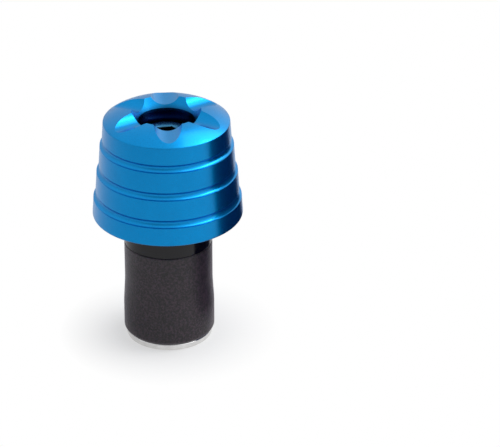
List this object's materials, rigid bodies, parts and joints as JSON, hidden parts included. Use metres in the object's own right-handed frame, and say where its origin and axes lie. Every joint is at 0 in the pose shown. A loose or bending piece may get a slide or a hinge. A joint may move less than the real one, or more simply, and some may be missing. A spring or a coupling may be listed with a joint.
{
  "type": "bar end weight",
  "caption": "Tapered, grooved bar end weight with a fluted crown and a recessed cap screw, held in a handlebar tube by an expanding rubber plug.",
  "frame": {"origin": "centre of the end nut's outer face, which is the lowest point of the standing part", "axes": "+Z along the turning axis, from the plug to the fluted crown; the first flute faces -Y, turned 4 degrees towards +X"},
  "size_m": [0.0294, 0.0294, 0.0484],
  "materials": {
    "anodised_blue": "satin blue anodised, fine turning marks",
    "black_nylon": "smooth satin, moulded",
    "black_rubber": "matt, finely speckled, moulded",
    "bright_aluminium": "bright turned",
    "plated_steel": "satin zinc plated"
  },
  "bodies": {
    "root": {"weight_body": "anodised_blue", "collar": "black_nylon", "rubber_sleeve": "black_rubber", "end_nut": "bright_aluminium", "clamp_screw": "plated_steel"}
  },
  "joints": []
}
